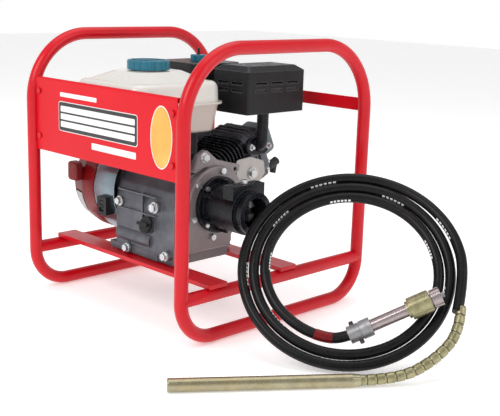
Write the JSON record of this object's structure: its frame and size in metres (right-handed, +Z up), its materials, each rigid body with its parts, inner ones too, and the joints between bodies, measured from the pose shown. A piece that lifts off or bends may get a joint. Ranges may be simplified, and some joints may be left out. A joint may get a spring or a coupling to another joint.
{
  "type": "concrete vibrator",
  "caption": "Petrol drive unit in a tubular roll frame with a coiled flexible shaft that ends in a vibrating poker for compacting wet concrete.",
  "frame": {"origin": "on the floor, under the middle of the power unit and its roll frame", "axes": "+X along the crankshaft towards the drive coupling, -Y towards the sign panel, +Z up"},
  "size_m": [0.883, 0.6352, 0.545],
  "materials": {
    "red_powder": "gloss powder coat",
    "panel_red": "gloss powder coat with printed marks",
    "zinc_plated": "bright zinc plated",
    "cast_aluminium": "as cast",
    "black_casting": "satin black",
    "machined_steel": "machined",
    "flywheel_iron": "cast and turned",
    "fan_steel": "bright pressed steel",
    "starter_red": "gloss",
    "grip_red": "moulded",
    "black_plastic": "moulded",
    "teal_plastic": "moulded",
    "tank_cream": "gloss enamel",
    "steel_mesh": "woven strainer",
    "foam": "oiled foam",
    "rocker_grey": "satin blue grey",
    "guide_grey": "pale grey sheet",
    "muffler_black": "heat resistant satin black",
    "rusted_steel": "heat tinted",
    "plug_porcelain": "glazed",
    "rubber_black": "moulded",
    "hose_rubber": "wrapped rubber with a white stripe",
    "clamp_casting": "cast",
    "yellow_zinc": "yellow passivated zinc",
    "sleeve_steel": "turned",
    "poker_steel": "passivated steel tube",
    "black_screw": "black oxide",
    "socket_steel": "hardened"
  },
  "bodies": {
    "power_unit": {"hoop_starter_end": "red_powder", "hoop_drive_end": "red_powder", "engine_rails": "red_powder", "sign_panel": "panel_red", "cross_members": "red_powder", "panel_screws": "red_powder", "rubber_pads": "rubber_black", "mount_bolts": "zinc_plated", "crankcase": "cast_aluminium", "side_cover": "cast_aluminium", "main_bearings": "machined_steel", "fan_housing": "fan_steel", "recoil_cover": "starter_red", "cylinder": "black_casting", "piston": "cast_aluminium", "cylinder_head": "cast_aluminium", "rocker_cover": "rocker_grey", "spark_plug": "plug_porcelain", "plug_cap": "rubber_black", "lift_bracket": "cast_aluminium", "air_guide": "guide_grey", "air_cleaner_base": "black_plastic", "filter_element": "foam", "air_cleaner_lid": "black_plastic", "carburettor": "cast_aluminium", "intake_elbow": "black_plastic", "control_plate": "zinc_plated", "switch_box": "black_plastic", "fuel_tank": "tank_cream", "fuel_strainer": "steel_mesh", "tank_legs": "black_casting", "muffler_guard": "muffler_black", "muffler": "rusted_steel", "exhaust_elbow": "black_casting", "coupling_housing": "black_casting", "hex_bolts": "zinc_plated", "bright_plugs": "zinc_plated", "hose_coil": "hose_rubber", "hose_clamp": "clamp_casting", "clamp_screws": "black_screw", "drive_sleeve": "sleeve_steel", "steel_conduit": "yellow_zinc", "poker_tube": "poker_steel", "poker_bearings": "machined_steel"},
    "crank": {"crankshaft": "machined_steel", "flywheel": "flywheel_iron", "drive_socket": "socket_steel"},
    "reel": {"rope_reel": "black_plastic"},
    "grip": {"starter_grip": "grip_red"},
    "dipstick": {"oil_dipstick": "black_plastic"},
    "air_knob": {"air_cleaner_knob": "teal_plastic"},
    "choke": {"choke_lever": "zinc_plated"},
    "tap": {"fuel_tap": "black_plastic"},
    "throttle": {"throttle_lever": "black_plastic"},
    "switch": {"stop_switch": "black_plastic"},
    "cap": {"fuel_cap": "teal_plastic"},
    "plunger": {"lock_plunger": "zinc_plated"},
    "nut": {"coupling_nut": "yellow_zinc"},
    "core": {"drive_core": "socket_steel"},
    "rotor": {"eccentric_rotor": "machined_steel"}
  },
  "joints": [
    {"name": "crank_spin", "type": "hinge", "parent": "power_unit", "child": "crank", "pos_m": [0, -0.068, 0.227], "axis": [1, 0, 0], "continuous": true},
    {"name": "reel_spin", "type": "hinge", "parent": "power_unit", "child": "reel", "pos_m": [0, -0.068, 0.227], "axis": [1, 0, 0], "range_deg": [0, 572.96]},
    {"name": "grip_pull", "type": "slide", "parent": "power_unit", "child": "grip", "axis": [0, -1, 0], "range_m": [0, 0.4]},
    {"name": "dipstick_turn", "type": "hinge", "parent": "power_unit", "child": "dipstick", "pos_m": [0.047, -0.147, 0.175], "axis": [0, -0.9439, 0.3304], "range_deg": [0, 720]},
    {"name": "air_knob_spin", "type": "hinge", "parent": "power_unit", "child": "air_knob", "pos_m": [-0.081, 0.068, 0.49], "axis": [0, 0, 1], "continuous": true},
    {"name": "choke_swing", "type": "hinge", "parent": "power_unit", "child": "choke", "pos_m": [-0.069, 0.1004, 0.32647], "axis": [0, 1, 0], "range_deg": [-30, 45]},
    {"name": "tap_swing", "type": "hinge", "parent": "power_unit", "child": "tap", "pos_m": [-0.057, 0.1004, 0.29047], "axis": [0, 1, 0], "range_deg": [0, 90]},
    {"name": "throttle_swing", "type": "hinge", "parent": "power_unit", "child": "throttle", "pos_m": [-0.052, 0.028, 0.346], "axis": [0, 0, 1], "range_deg": [-25, 15]},
    {"name": "switch_rock", "type": "hinge", "parent": "power_unit", "child": "switch", "pos_m": [-0.088, -0.177, 0.198], "axis": [1, 0, 0], "range_deg": [0, 12]},
    {"name": "cap_turn", "type": "hinge", "parent": "power_unit", "child": "cap", "pos_m": [-0.022, -0.114, 0.48], "axis": [0, 0, 1], "range_deg": [0, 90]},
    {"name": "plunger_lift", "type": "slide", "parent": "power_unit", "child": "plunger", "axis": [0, 0, 1], "range_m": [0, 0.008], "stiffness_N_per_m": 1500, "springref_m": -0.006},
    {"name": "nut_turn", "type": "hinge", "parent": "power_unit", "child": "nut", "pos_m": [0.4804, -0.07354, 0.05887], "axis": [0.625, 0.6381, 0.4497], "continuous": true},
    {"name": "core_spin", "type": "hinge", "parent": "power_unit", "child": "core", "pos_m": [0.4804, -0.07354, 0.05887], "axis": [0.625, 0.6381, 0.4497], "continuous": true},
    {"name": "rotor_spin", "type": "hinge", "parent": "power_unit", "child": "rotor", "pos_m": [0.546, -0.121, 0.0115], "axis": [-0.5995, -0.8004, 0], "continuous": true}
  ],
  "couplings": [
    {"joint": "reel_spin", "follows": "grip_pull", "rad_per_m": 25},
    {"joint": "rotor_spin", "follows": "core_spin", "ratio": 1}
  ]
}
